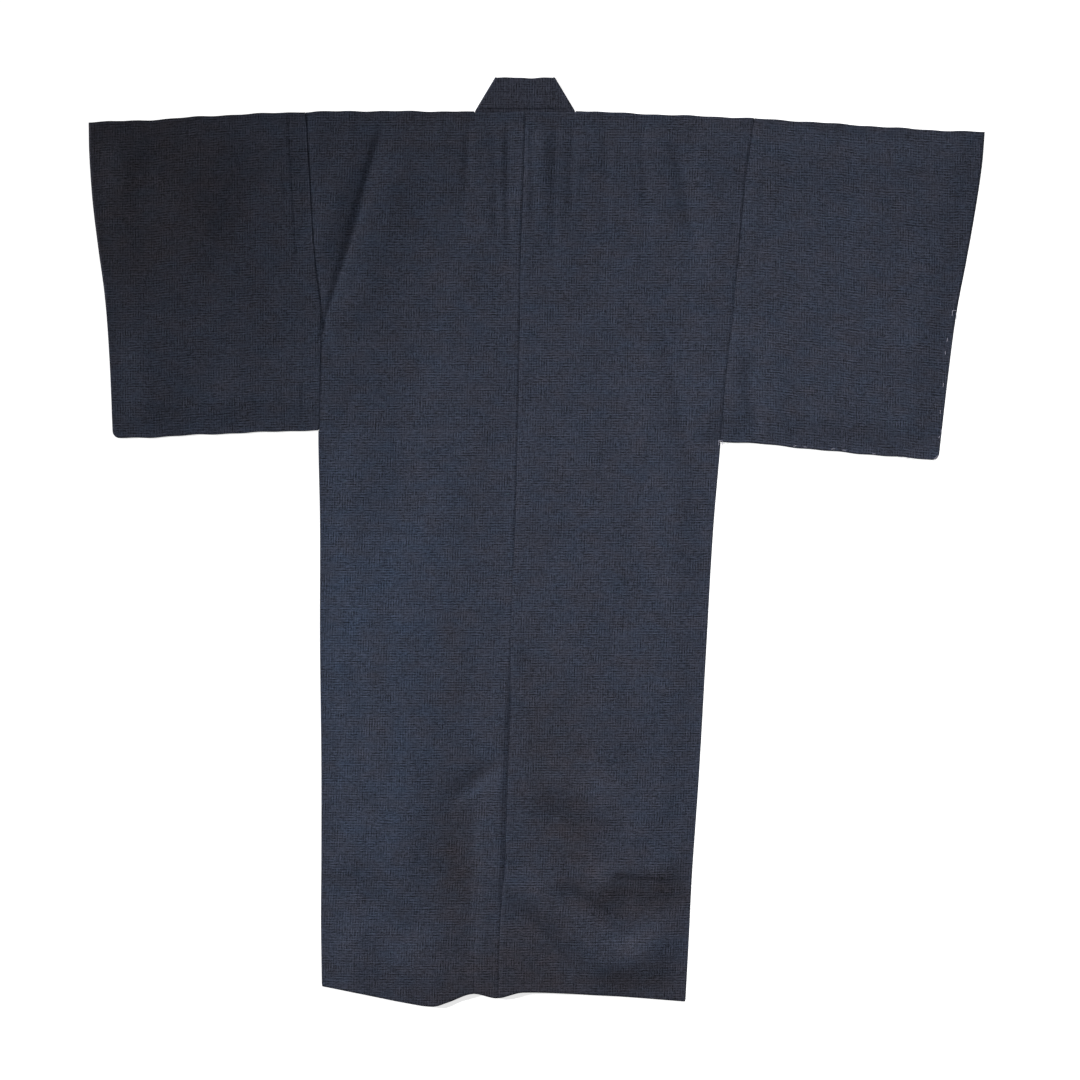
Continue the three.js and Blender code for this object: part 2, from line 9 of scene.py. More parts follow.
import bpy
import numpy as np
from bpy.props import FloatProperty, FloatVectorProperty, PointerProperty
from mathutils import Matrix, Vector


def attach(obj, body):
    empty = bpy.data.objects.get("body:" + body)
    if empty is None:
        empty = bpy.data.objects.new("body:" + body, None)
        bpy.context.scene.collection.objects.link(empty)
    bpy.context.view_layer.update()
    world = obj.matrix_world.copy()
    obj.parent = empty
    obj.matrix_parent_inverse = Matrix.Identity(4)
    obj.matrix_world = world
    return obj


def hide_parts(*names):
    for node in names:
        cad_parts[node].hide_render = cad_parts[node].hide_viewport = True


bl_info = {
    "name": "Kimono laid flat",
    "version": (1, 0, 0),
    "blender": (4, 5, 0),
    "location": "View3D > Sidebar > Kimono",
    "description": "Makes the cloth pieces of a kimono that lies flat with its back up",
    "category": "Object",
}

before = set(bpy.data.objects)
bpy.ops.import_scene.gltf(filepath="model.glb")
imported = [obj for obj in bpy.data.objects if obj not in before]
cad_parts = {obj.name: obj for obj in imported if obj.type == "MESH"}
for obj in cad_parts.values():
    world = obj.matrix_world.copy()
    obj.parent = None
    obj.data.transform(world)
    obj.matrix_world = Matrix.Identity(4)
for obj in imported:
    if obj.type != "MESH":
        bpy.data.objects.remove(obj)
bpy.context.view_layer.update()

MM = 0.001
SHIFT = (0.5, 0.458)  # from the tables' origin to the frame's

# Sizes that the solids have too
WALL = 1
BAND = 2
SEAM_GAP = 0.3
AIR = 0.5
TURN = WALL + AIR / 2
SHOULDER_Y = 645
HEM_Y = -670
LENGTH = SHOULDER_Y - HEM_Y
NECK_HALF = 76
COLLAR_HALF = 73.5
COLLAR_WIDE = 52
COLLAR_END = 600
OVERLAP_TIP = 238
OVERLAP_SEAM_LEAN = 30
FRONT_EDGE_AT_COLLAR = -130
FRONT_EDGE_AT_HEM = -120
HAND_OPENING = 0.55
CUFF_CORNER = 9
ARMPIT_DROP = TURN + 0.45
FRONT_HEM_SHORT = 5
LAYER = BAND + SEAM_GAP
STEP_MARGIN = 12
STEP_RUN = 50
LOFT_EDGE = 55
HEM_LOFT = 0.45
COLLAR_ZONE = 100
COLLAR_CROWN = 0.8
COLLAR_LEAN = 0.3612  # how the collar's seam runs down the front
COLLAR_BEND = 0.000181
REACH_MARGIN = 4

# Sizes of the scene's own
COLLAR_TOP_HALF = 42.5
COLLAR_RISE = 52
COLLAR_SEAM = 4
LOFT = 5
FOLD_GAIN = 0.9
THINNEST = 0.4  # least height of the back's face above the layers below it
HEM_ROLL = 0.9  # how far the back's face sinks at the hem
HEM_ROLL_WIDE = 1.6
FRONT_START = 1.5
CORNER_RUN = 30  # stretch of front over which the corner at the neck is drawn in
SEWN_RUN = 0.12
BOLT_PLACE = {"body": 210, "sleeve": 570}  # where a piece starts on the cloth's pattern

SIDE = {"left": -1, "right": 1}

# Lines down the body, seen from above: the two sides and the centre back seam
BODY_LINES = (
    ("down", "left", "centre", "right"),
    (0, -348, -18, 327),
    (100, -342, -21, 312.5),
    (225, -334, -25.5, 301),
    (300, -325.5, -26.5, 293.5),
    (420, -327, -28.5, 280.5),
    (490, -328, -30, 275),
    (620, -325.5, -33.5, 264),
    (800, -325.5, -40, 253.5),
    (980, -323.5, -44, 243),
    (1130, -323.5, -50, 232.5),
    (1220, -324, -56, 228),
    (1330, -322.5, -58.5, 222),
)

# The top edge from cuff to cuff, as a drop below the shoulder at the neck
SHOULDER_LINE = (
    ("x", "drop"),
    (-672, 15.5),
    (-583, 12.5),
    (-493, 6.5),
    (-358, 0.5),
    (-246, -1),
    (-110, 0),
    (-60, 0),
    (30, 0),
    (75, 0),
    (204, 5),
    (316, 9.5),
    (406, 15),
    (586, 27),
    (671, 30.5),
)

# The back hem, as a drop below its level
HEM_LINE = (
    ("x", "drop"),
    (-323, -3.5),
    (-268, 7),
    (-201, 20),
    (-156, 26.5),
    (-133, 20),
    (-97, 7.5),
    (-60, 14),
    (-21, 5.5),
    (92, 10),
    (160, 14.5),
    (222, 19.5),
)

# The cuff edges, by share of the sleeve's depth
CUFF_LINES = (
    ("share", "left", "right"),
    (0, -671, 670),
    (0.1, -670, 666),
    (0.25, -665, 655),
    (0.4, -656.5, 642),
    (0.55, -647, 628),
    (0.75, -640, 615),
    (1, -635, 601),
)

# Depth of each sleeve below the shoulder line
SLEEVES = {
    "left": {"at_body": 480, "at_cuff": 475.5},
    "right": {"at_body": 489, "at_cuff": 495},
}

# Folds: ridges rise and troughs sink along a line. "left" and "right" are how wide the slope is on
# each hand as one walks from the start to the end.
FOLDS = (
    ("x0", "y0", "x1", "y1", "left", "right", "rise"),
    (-191, 760, -329, 296, 13, 5.5, -2.8),
    (-262, 620, -335, 400, 26, 26, 3),
    (-190, 600, -285, 300, 30, 26, 2.6),
    (200, 640, 246, 400, 24, 14, -3.5),
    (236, 610, 275, 330, 26, 26, 3),
    (180, 370, 258, -20, 26, 18, -3.5),
    (140, 340, 222, -60, 34, 30, 3),
    (-40, 660, -42, 500, 20, 12, -2.5),
    (8, 660, 4, 520, 20, 20, 3),
    (-43, -160, -58, -560, 1.6, 24, 2.6),
    (-50, -325, -140, -400, 14, 20, -4),
    (-97, -345, -104, -690, 13, 42, -4.8),
    (-215, 20, -222, -560, 55, 55, 5),
    (-285, -90, -252, -350, 22, 16, -4),
    (-315, -480, -165, -615, 28, 28, -4),
    (-300, -560, -190, -730, 34, 34, 4),
    (-38, -150, 105, -390, 28, 18, -4.4),
    (10, -120, 160, -330, 40, 40, 3),
    (-20, -315, 185, -470, 42, 26, 5.5),
    (0, -380, 112, -508, 18, 26, -6),
    (55, -488, 280, -508, 40, 50, 7),
    (80, -532, 275, -545, 26, 34, -6),
    (15, -508, 165, -610, 16, 18, -7),
    (-42, -490, 140, -668, 24, 22, 6.5),
    (-62, -515, 105, -722, 18, 20, -7),
    (85, -628, 280, -586, 26, 34, 4.6),
    (60, -700, 270, -652, 24, 26, -4.5),
    (-560, 590, -420, 260, 60, 60, 3),
    (-610, 560, -600, 260, 40, 40, -2),
    (390, 540, 560, 220, 60, 60, 3),
    (308, 300, 334, 130, 18, 12, -4),
    (345, 330, 372, 130, 26, 26, 3),
)

# Sharper creases and small gathers on top of them
CREASES = (
    ("x0", "y0", "x1", "y1", "left", "right", "rise"),
    (-250, 540, -334, 280, 3.2, 1.9, -1.6),
    (-46, -240, -53, -490, 2.5, 2.5, -0.8),
    (-326, 345, -300, 255, 7, 5, -1.2),
    (203, 610, 242, 425, 10, 6, -1.2),
    (184, 350, 256, 10, 11, 7, -1.2),
    (-45, 710, -43, 400, 6, 4, -1.7),
    (-68, 710, -60, 430, 8, 5, -1.3),
    (-8, 710, -6, 450, 5, 4, -1.5),
    (9, 710, 12, 470, 5, 5, 0.8),
    (29, 710, 24, 380, 5, 4, -1.2),
    (58, 710, 48, 470, 6, 5, -1.2),
    (-95, 720, -108, 500, 7, 6, -1.7),
    (98, 710, 106, 500, 7, 5, -1.1),
    (150, 710, 170, 430, 8, 7, -1.3),
    (-62, -336, -124, -388, 7, 9, -1.6),
    (-93, -385, -101, -660, 6, 10, -1.2),
    (-35, -160, 22, -240, 12, 8, -1.2),
    (15, -225, 98, -378, 12, 8, -1.2),
    (136, -80, 200, -230, 16, 12, -1),
    (16, -402, 100, -498, 8, 10, -1),
    (80, -498, 262, -515, 3, 12, -2.2),
    (40, -518, 152, -602, 8, 6, -1.2),
    (-38, -540, 84, -692, 9, 8, -1.4),
    (-310, -490, -160, -600, 14, 10, -1),
    (-270, -560, -160, -690, 14, 14, 0.9),
    (312, 285, 331, 150, 7, 6, -1.3),
    (-612, 622, -596, 596, 6, 6, -1.2),
    (-590, 560, -470, 470, 26, 26, 0.9),
    (-560, 420, -420, 330, 22, 26, -0.8),
    (420, 470, 560, 400, 26, 22, -0.8),
    (400, 300, 540, 190, 24, 24, 0.8),
    (-240, 300, -180, 40, 26, 26, -0.9),
    (-120, 420, -90, 60, 24, 24, 0.8),
    (60, 480, 90, 120, 26, 26, -0.8),
    (120, 560, 150, 330, 22, 22, 0.8),
)

# Lines pressed across the cloth by folding it for storage
PRESSED = (
    ("x0", "y0", "x1", "y1", "left", "right", "rise"),
    (-352, 171, -60, 168, 5, 3, -0.55),
    (-120, 169, 300, 172, 4, 3, -0.35),
    (-345, 8, -120, 6, 5, 3, -0.6),
)

# Cloth that is turned in beside a seam shows as a band: how far past the seam it starts and ends,
# counted outwards, or to the right at the centre, the stretch that shows, how far it rises, and the
# groove along its free edge
BANDS = (
    ("seam", "near", "far", "y0", "y1", "rise", "edge", "groove"),
    ("left", 0, 26, 645, 390, -0.6, 26, 0),
    ("left", 0, 26, 250, 150, -0.55, 26, 0),
    ("right", 0, 27, 560, 330, 0.3, 27, 0.3),
    ("centre", -37, 0, -500, -760, -0.8, -37, 0.5),
)

# Distances from the seams where grid columns stand close together, for the bands' free edges
BAND_COLUMNS = {"sleeve": (24.2, 25.2, 26, 26.8, 27.8), "body": (35.2, 36.2, 37, 37.8, 38.8)}

# Broad areas of painted light and shade: painted sheen makes the cloth bluer, and painted shade,
# where the amount is below 0, makes it browner and darker, over fold troughs, along the hem and on
# the top of the left sleeve
PAINTED_LIGHT_AREAS = (
    ("x", "y", "wide", "tall", "amount"),
    (-255, -110, 130, 230, 1),
    (-230, -420, 70, 120, 0.5),
    (155, -532, 115, 45, -1.2),
    (-120, -480, 34, 110, -1.1),
    (-105, -660, 50, 45, -0.9),
    (-238, -220, 18, 120, -0.8),
    (-118, -180, 26, 90, -0.6),
    (0, -320, 34, 130, -0.8),
    (60, -330, 34, 100, -0.6),
    (58, -445, 38, 50, -1),
    (-12, -630, 60, 66, -1.3),
    (170, -665, 90, 30, -0.9),
    (-40, -700, 300, 50, -0.5),
    (-600, 530, 160, 160, -1.5),
    (-150, 620, 90, 45, -0.5),
    (400, 640, 260, 30, -0.4),
)


def rows(table):
    """A table's rows as dictionaries."""
    return [dict(zip(table[0], row)) for row in table[1:]]


def curve(table, at, value):
    """A smooth curve through a table's rows, level past its ends, that works on arrays."""
    x = np.array([row[at] for row in rows(table)], float)
    y = np.array([row[value] for row in rows(table)], float)
    before = np.maximum(np.arange(len(x)) - 1, 0)
    after = np.minimum(np.arange(len(x)) + 1, len(x) - 1)
    slope = (y[after] - y[before]) / (x[after] - x[before])

    def at_place(t):
        t = np.asarray(t, float)
        i = np.clip(np.searchsorted(x, t) - 1, 0, len(x) - 2)
        span = x[i + 1] - x[i]
        s = np.clip((t - x[i]) / span, 0, 1)
        start = (1 + 2 * s) * (1 - s) ** 2 * y[i] + s * (1 - s) ** 2 * span * slope[i]
        return start + s * s * (3 - 2 * s) * y[i + 1] - s * s * (1 - s) * span * slope[i + 1]

    return at_place


def lerp(a, b, t):
    return a + (b - a) * t


def step(value, low, high):
    """0 below low, 1 above high and smooth between them."""
    t = np.clip((value - low) / (high - low), 0, 1)
    return t * t * (3 - 2 * t)


def bump(distance, wide):
    """A soft hill, 1 in its middle."""
    return np.exp(-((distance / wide) ** 2))


side_line = {name: curve(BODY_LINES, "down", name) for name in SIDE}
centre_line = curve(BODY_LINES, "down", "centre")
shoulder_drop = curve(SHOULDER_LINE, "x", "drop")
hem_drop = curve(HEM_LINE, "x", "drop")
cuff_line = {name: curve(CUFF_LINES, "share", name) for name in SIDE}


def shoulder_y(x):
    waves = 0.5 * np.sin(x / 17 + 0.8) + 0.4 * np.sin(x / 7.3 + 2.1)
    waves *= step(np.abs(x + 18), NECK_HALF + 4, NECK_HALF + 30)
    return SHOULDER_Y - shoulder_drop(x) - TURN + waves


def hem_y(x):
    return HEM_Y - hem_drop(x)


def side_x(name, down):
    return side_line[name](down) - SIDE[name] * TURN


def cuff_x(name, share):
    """The cuff's edge inside its turn, with the sleeve's rounded lower corner."""
    inward = np.clip((share - 1) * SLEEVES[name]["at_cuff"] + CUFF_CORNER, 0, CUFF_CORNER)
    inset = CUFF_CORNER - np.sqrt(CUFF_CORNER**2 - inward**2)
    return cuff_line[name](share) - SIDE[name] * inset


def body_x(name, down, out):
    """A place by its distance from the centre line, counted towards its own side."""
    return centre_line(down) + SIDE[name] * out


def collar_seam(down):
    return COLLAR_HALF - COLLAR_LEAN * down + COLLAR_BEND * down**2


def overlap_seam(down):
    return OVERLAP_SEAM_LEAN * np.clip((down - OVERLAP_TIP) / (LENGTH - OVERLAP_TIP), 0, 1)


def front_edge(down):
    share = np.clip((down - COLLAR_END) / (LENGTH - COLLAR_END), 0, 1)
    return lerp(FRONT_EDGE_AT_COLLAR, FRONT_EDGE_AT_HEM, share)


def front_y(x, down):
    return lerp(shoulder_y(x), hem_y(x) + FRONT_HEM_SHORT, down / LENGTH)


def reach(down):
    """How far past the centre line a front reaches, with its collar."""
    beside_collar = COLLAR_WIDE + REACH_MARGIN - collar_seam(down)
    return np.where(down > COLLAR_END, -front_edge(down), beside_collar)


def over_left_front(x, y):
    down = SHOULDER_Y - y
    past = x - body_x("left", down, -reach(down))
    return 1 - step(past, STEP_MARGIN, STEP_MARGIN + STEP_RUN)


def under_right_front(x, y):
    down = SHOULDER_Y - y
    past = body_x("right", down, -reach(down)) - x
    return 1 - step(past, STEP_MARGIN, STEP_MARGIN + STEP_RUN)


def front_under(name, x, y):
    """Underside of a front: the left one is on the surface, the right one climbs over it."""
    return 0 * x if name == "left" else LAYER * over_left_front(x, y)


def pile(x, y):
    """Lowest level that the back can have over the fronts and the collar."""
    down = SHOULDER_Y - y
    across = np.abs(x - centre_line(down))
    near_collar = (1 - step(across, COLLAR_ZONE, COLLAR_ZONE + STEP_RUN)) * (
        1 - step(down, COLLAR_END, COLLAR_END + STEP_RUN)
    )
    stacked = over_left_front(x, y) * under_right_front(x, y)
    return WALL + AIR + (BAND - WALL) * near_collar + LAYER * stacked


FADE_IN = 0.3  # shares of a fold's length
FADE_OUT = 0.78


def ridges(table, x, y):
    """Height of all the folds of a table at each place."""
    total = np.zeros_like(x)
    for fold in rows(table):
        dx, dy = fold["x1"] - fold["x0"], fold["y1"] - fold["y0"]
        length = math.hypot(dx, dy)
        along = ((x - fold["x0"]) * dx + (y - fold["y0"]) * dy) / length**2
        aside = ((x - fold["x0"]) * dy - (y - fold["y0"]) * dx) / length
        fade = step(along, 0, FADE_IN) * (1 - step(along, FADE_OUT, 1))
        total += fold["rise"] * fade * bump(aside, np.where(aside > 0, fold["right"], fold["left"]))
    return total


def sleeve_bottom_y(name, x):
    """Bottom edge of a sleeve, inside its turned edge."""
    at_body = side_x(name, SLEEVES[name]["at_body"])
    share = np.clip((x - at_body) / (cuff_line[name](1) - at_body), 0, 1)
    depth = lerp(SLEEVES[name]["at_body"], SLEEVES[name]["at_cuff"], share)
    return shoulder_y(x) - depth + 2 * TURN


def openness(x, y):
    """How open the layers are at a place, from 0 at a closed edge to 1 in the middle."""
    down = SHOULDER_Y - y
    by_side = []
    for name, out in SIDE.items():
        in_body = np.maximum(0, (side_x(name, down) - x) * out)
        above_sleeve = np.maximum(0, y - sleeve_bottom_y(name, x))
        share = np.clip((shoulder_y(x) - y) / SLEEVES[name]["at_cuff"], 0, 1)
        in_cuff = (cuff_line[name](share) - x) * out
        by_side.append(step(in_body + above_sleeve, 0, LOFT_EDGE) * step(in_cuff, -1, LOFT_EDGE))
    return (
        np.where(x >= centre_line(down), by_side[1], by_side[0])
        * step(shoulder_y(x) - y, 0, LOFT_EDGE)
        * lerp(HEM_LOFT, 1, step(y - hem_y(x), 0, LOFT_EDGE))
    )


SOFT = 0.6  # how gently a trough ends on the layers below
SWELLS = (
    ("long_x", "long_y", "turn", "rise"),
    (173, 611, 0.4, 0.45),
    (291, 197, 1.9, 0.35),
    (127, 353, 2.7, 0.3),
    (83, 149, 4.1, 0.18),
    (61, 97, 5.3, 0.1),
)


def swell(x, y):
    """Slow waves that keep the cloth from looking pressed."""
    total = np.zeros_like(x)
    for wave in rows(SWELLS):
        bend = 0.9 * np.sin(y / (0.37 * wave["long_y"]) + wave["turn"])
        first = np.sin(x / wave["long_x"] * 2 * math.pi + bend + wave["turn"])
        total += wave["rise"] * first * np.cos(y / wave["long_y"] * 2 * math.pi + 2 * wave["turn"])
    return total


def painted_light(x, y):
    """Painted light and shade at a place, from 0 for painted shade, browner and darker, to 1 for
    painted sheen, bluer.
    """
    total = np.zeros_like(x)
    for area in rows(PAINTED_LIGHT_AREAS):
        off_x = (x - area["x"]) / area["wide"]
        off_y = (y - area["y"]) / area["tall"]
        total += area["amount"] * bump(np.hypot(off_x, off_y), 1)
    return np.clip(0.5 + total / 2, 0, 1)


BAND_EDGE = 0.9  # half the width of the step at a band's edge
BAND_GROOVE = 1.3
BAND_START = 20
BAND_FADE = 60


def band_rise(x, y):
    """The steps of the cloth that is turned in beside the seams."""
    down = SHOULDER_Y - y
    total = np.zeros_like(x)
    for band in rows(BANDS):
        seam = centre_line(down) if band["seam"] == "centre" else side_line[band["seam"]](down)
        out = (x - seam) * SIDE.get(band["seam"], 1)
        past_near = step(out, band["near"] - BAND_EDGE, band["near"] + BAND_EDGE)
        past_far = step(out, band["far"] - BAND_EDGE, band["far"] + BAND_EDGE)
        low_end = step(y, band["y1"], band["y1"] + BAND_FADE)
        high_end = step(y, band["y0"] - BAND_START, band["y0"])
        groove = band["groove"] * bump(out - band["edge"], BAND_GROOVE)
        total += (band["rise"] * past_near * (1 - past_far) - groove) * low_end * (1 - high_end)
    return total


LAP = 4  # from the left width's folded edge to the middle of its raised strip
LAP_RISE = 0.35
SEAM_WIDE = 3
SEAM_DIP = 1.1
SEAM_PULL = 0.4  # the stitches pull the folded edge down
FAINT = 0.75  # how much of the seam is lost where the cloth was pressed over it
FAINT_FROM = (0, 40)
FAINT_TO = (140, 190)
SEAM_START = (2, 14)  # below the neck
ARM_WIDE = 9  # the dip on the right of each sleeve seam
ARM_DIP = 1.2
ARM_PULL = 0.2  # the shallow line on its left
ARM_EDGE = 0.8
ARM_END = 6


def seam_dips(x, y):
    """Grooves along the seams: the left width laps over the centre seam."""
    down = SHOULDER_Y - y
    aside = x - centre_line(down)
    lap = LAP_RISE * bump(aside + LAP, SEAM_WIDE) - SEAM_PULL * bump(aside, 1)
    clear = 1 - FAINT * step(-y, *FAINT_FROM) * (1 - step(-y, *FAINT_TO))
    clear *= step(down, *SEAM_START)
    total = clear * np.where(aside < 0, lap, -SEAM_DIP * bump(aside, SEAM_WIDE))
    for name, out in SIDE.items():
        above = step(y - sleeve_bottom_y(name, x), -ARM_END, ARM_END)
        past = x - side_x(name, down) - out * SEAM_GAP / 2
        dip = np.where(past > 0, ARM_DIP * bump(past, ARM_WIDE), ARM_PULL * bump(past, ARM_EDGE))
        total -= above * dip
    return total


def back_over(x, y):
    """Outer face of the back."""
    loft = LOFT + FOLD_GAIN * ridges(FOLDS, x, y) + ridges(CREASES, x, y) + swell(x, y)
    soft = SOFT * np.logaddexp(0, loft / SOFT) * openness(x, y)
    fine = ridges(PRESSED, x, y) + band_rise(x, y) + seam_dips(x, y)
    return np.maximum(pile(x, y) + soft + WALL + fine, pile(x, y) + THINNEST)


class Sheet:
    """A sheet of cloth by the points of its outer face, with each point's place on the bolt."""

    def __init__(self, start=0):
        self.start = start
        self.points = []
        self.bolt = []
        self.faces = []
        self.count = 0

    def add(self, x, y, z, across, along):
        """Adds a row or grid of points and gives back their numbers in the same shape."""
        x, y, z, across, along = np.broadcast_arrays(x, y, z, across, along)
        self.points.append(np.stack([x, y, z], -1).reshape(-1, 3))
        self.bolt.append(np.stack([across, along], -1).reshape(-1, 2))
        numbers = np.arange(self.count, self.count + x.size).reshape(x.shape)
        self.count += x.size
        return numbers

    def fill(self, grid, flip=False):
        """Fills a grid with faces, turned round where flip says so."""
        quads = np.stack([grid[:-1, :-1], grid[:-1, 1:], grid[1:, 1:], grid[1:, :-1]], -1)
        quads = quads.reshape(-1, 4)
        self.faces.append(quads[:, ::-1] if flip else quads)

    def fan(self, fine, coarse, flip):
        """Fills the strip between a fine and a coarse row that run side by side."""
        faces = []
        j = 0
        for i in range(len(fine) - 1):
            faces.append([fine[i], fine[i + 1], coarse[j]])
            if (i + 1) * (len(coarse) - 1) / (len(fine) - 1) >= j + 0.5 and j < len(coarse) - 1:
                faces.append([fine[i + 1], coarse[j + 1], coarse[j]])
                j += 1
        self.faces.append(np.array(faces)[:, ::-1] if flip else np.array(faces))

    def turn(self, high, low, away, flip=False, steps=5):
        """Joins two edges by a rounded turn that stands out to one side. Returns its rows."""
        points = np.concatenate(self.points)
        bolt = np.concatenate(self.bolt)
        top, bottom = points[high], points[low]
        half = (top[:, 2] - bottom[:, 2]) / 2
        grid = [high]
        for angle in np.linspace(math.pi / 2, -math.pi / 2, steps + 2)[1:-1]:
            t = 0.5 - math.sin(angle) / 2
            place = lerp(bolt[high], bolt[low], t)
            grid.append(
                self.add(
                    lerp(top[:, 0], bottom[:, 0], t) + away[0] * half * math.cos(angle),
                    lerp(top[:, 1], bottom[:, 1], t) + away[1] * half * math.cos(angle),
                    lerp(top[:, 2], bottom[:, 2], t),
                    place[:, 0],
                    place[:, 1],
                )
            )
        grid.append(low)
        self.fill(np.array(grid), flip)
        return np.array(grid)

    def make(self, name, material, wall):
        """Makes the shell, with its wall on the inside."""
        points = np.concatenate(self.points)
        # Each point carries its painted light and shade as an attribute
        painted_light_share = painted_light(points[:, 0], points[:, 1])
        points[:, :2] += SHIFT
        faces = [face for part in self.faces for face in part.tolist()]
        mesh = bpy.data.meshes.new(name)
        mesh.from_pydata((points * MM).tolist(), [], faces)
        corners = np.empty(len(mesh.loops), int)
        mesh.loops.foreach_get("vertex_index", corners)
        layer = mesh.uv_layers.new(name="bolt")
        bolt = np.concatenate(self.bolt)[corners] + self.start
        layer.data.foreach_set("uv", (bolt * MM).ravel())
        mesh.attributes.new("painted_light", "FLOAT", "POINT").data.foreach_set("value", painted_light_share)
        mesh.shade_smooth()
        piece = bpy.data.objects.new(name, mesh)
        bpy.context.scene.collection.objects.link(piece)
        mesh.materials.append(material)
        shell = piece.modifiers.new("wall", "SOLIDIFY")
        shell.thickness = wall
        shell.offset = -1
        shell.use_quality_normals = True
        bpy.ops.object.select_all(action="DESELECT")
        piece.select_set(True)
        bpy.context.view_layer.objects.active = piece
        bpy.ops.object.modifier_apply(modifier=shell.name)
        return piece


ROW = 4  # the grid's usual step
CLOSE_ROWS = np.array([7, 4, 2, 0.8, 0])  # last rows above the hem
CORNER_ROWS = CUFF_CORNER * (1 - np.sin(np.radians([0, 15, 30, 45, 60, 75, 90])))
FRONT_COLUMNS = np.linspace(0, 1, 15)[None, :]

# The strip that goes on under the collar, row by row: how far past the neck edge it lies, how far
# it is drawn in and how far it sinks
NECK_STRIP = (
    ("past", "inset", "sink"),
    (0.5, 1.9, 0.9),
    (1.2, 4.7, 1.9),
    (3, 6, 2.6),
    (7, 9, 2.7),
)


def body_shares(name):
    """Shares of the way down the body, and how many of them lie beside the sleeve."""
    side = side_x(name, 0)
    armpit = sleeve_bottom_y(name, side_x(name, SLEEVES[name]["at_body"]))
    arm = (shoulder_y(side) - armpit) / (shoulder_y(side) - hem_y(side_x(name, LENGTH)))
    beside = np.linspace(0, arm, round(arm * LENGTH / ROW) + 1)
    drop = ARMPIT_DROP / LENGTH
    last = 1 - CLOSE_ROWS[0] / LENGTH
    skirt = np.linspace(arm + 2 * drop, last, round((last - arm) * LENGTH / ROW))[1:-1]
    shares = [beside, [arm + drop, arm + 2 * drop], skirt, 1 - CLOSE_ROWS / LENGTH]
    return np.concatenate(shares), len(beside)


def body_width(name, material, wall):
    """One body width: the back down to the hem, and over the shoulder the front."""
    out = SIDE[name]
    sheet = Sheet(BOLT_PLACE["body"] * out)
    shares, beside = body_shares(name)
    down = shares[:, None] * LENGTH
    full = np.abs(side_x(name, down) - centre_line(down))

    # Columns are closer together at the seams. The right width goes on under the left one.
    first, sink = ((0.08, 0.25), (0, 0)) if name == "left" else ((-2.2, -0.3), (1.0, 0.55))
    near = np.array([*first, 0.5, 1, 1.7, 2.6, 3.8, 5.4, 7.5, 10])
    wide = (np.linspace(13.5, 33, 7), BAND_COLUMNS["body"], np.linspace(42, NECK_HALF, 11))
    inner = np.concatenate([near, *wide])
    tuck = np.zeros(len(inner))
    tuck[:2] = sink
    even = lerp(NECK_HALF, full - 8, np.linspace(0, 1, 68)[None, 1:])
    edge = full - np.array([5, 2.5, 1, 0])[None, :]
    distance = np.hstack([np.broadcast_to(inner, (len(shares), len(inner))), even, edge])
    x = centre_line(down) + out * distance
    y = lerp(shoulder_y(x), hem_y(x), shares[:, None])
    z = back_over(x, y) - HEM_ROLL * bump(LENGTH - down, HEM_ROLL_WIDE)
    z[:, : len(inner)] -= tuck
    back = sheet.add(x, y, z, out * distance, y - SHOULDER_Y)
    sheet.fill(back, name == "right")

    # The front has fewer columns, from its side to the collar or the overlap panel.
    front_down = down.copy()
    front_down[0] = FRONT_START
    corner = (NECK_HALF - COLLAR_HALF - SEAM_GAP) * (1 - step(front_down, 0, CORNER_RUN))
    along_collar = collar_seam(front_down) + SEAM_GAP + corner
    seam = overlap_seam(front_down) + SEAM_GAP / 2
    cut = np.where(front_down < OVERLAP_TIP, along_collar, seam)
    front_x = lerp(side_x(name, front_down), body_x(name, front_down, cut), FRONT_COLUMNS)
    front_z = front_under(name, front_x, front_y(front_x, front_down))
    across = front_x - centre_line(front_down)
    front = sheet.add(front_x, front_y(front_x, front_down), front_z, across, front_down)
    sheet.fill(front, name == "right")

    # Over the shoulder
    shoulder = back[0, len(inner) - 1 :][::-1]
    top_x = x[0, len(inner) - 1 :][::-1]
    top_y = shoulder_y(top_x)
    low = sheet.add(top_x, top_y, front_under(name, top_x, top_y), top_x - centre_line(0), 0)
    sheet.turn(shoulder, low, (0, 1), name == "right")
    sheet.fan(low, front[0], name == "right")

    closed = slice(beside + 1, None)
    sheet.turn(back[closed, -1], front[closed, 0], (out, 0), name == "left")

    # The neck edge goes on under the collar as a turned-in strip.
    neck = slice(0, len(inner))
    strip = [back[0, neck]]
    for place in rows(NECK_STRIP):
        strip_x = centre_line(0) + out * inner * (1 - place["inset"] / NECK_HALF)
        strip_y = y[0, neck] + place["past"]
        strip_z = z[0, neck] - place["sink"]
        strip.append(sheet.add(strip_x, strip_y, strip_z, out * inner, place["past"]))
    sheet.fill(np.array(strip), name == "left")
    return sheet.make(f"cloth_body_{name}", material, wall)


